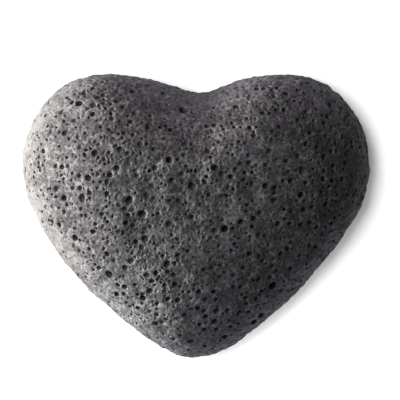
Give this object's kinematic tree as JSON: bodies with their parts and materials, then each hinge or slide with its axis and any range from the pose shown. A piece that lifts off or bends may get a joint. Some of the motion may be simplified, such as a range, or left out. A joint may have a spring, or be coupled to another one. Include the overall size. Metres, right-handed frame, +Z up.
{
  "type": "konjac sponge",
  "caption": "Heart-shaped moulded konjac facial sponge, domed and pored on the face and flat on the back, for washing skin by hand.",
  "frame": {"origin": "middle of the heart's box on the flat back, where the sponge rests", "axes": "+Z up out of the dome, +X across the two lobes to the right lobe, +Y from the tip to the notch"},
  "size_m": [0.085, 0.0696, 0.028],
  "materials": {
    "charcoal_face_skin": "matte",
    "charcoal_back_skin": "matte",
    "charcoal_core": "matte"
  },
  "bodies": {
    "root": {"front_skin": "charcoal_face_skin", "back_skin": "charcoal_back_skin", "foam_core": "charcoal_core"}
  },
  "joints": []
}
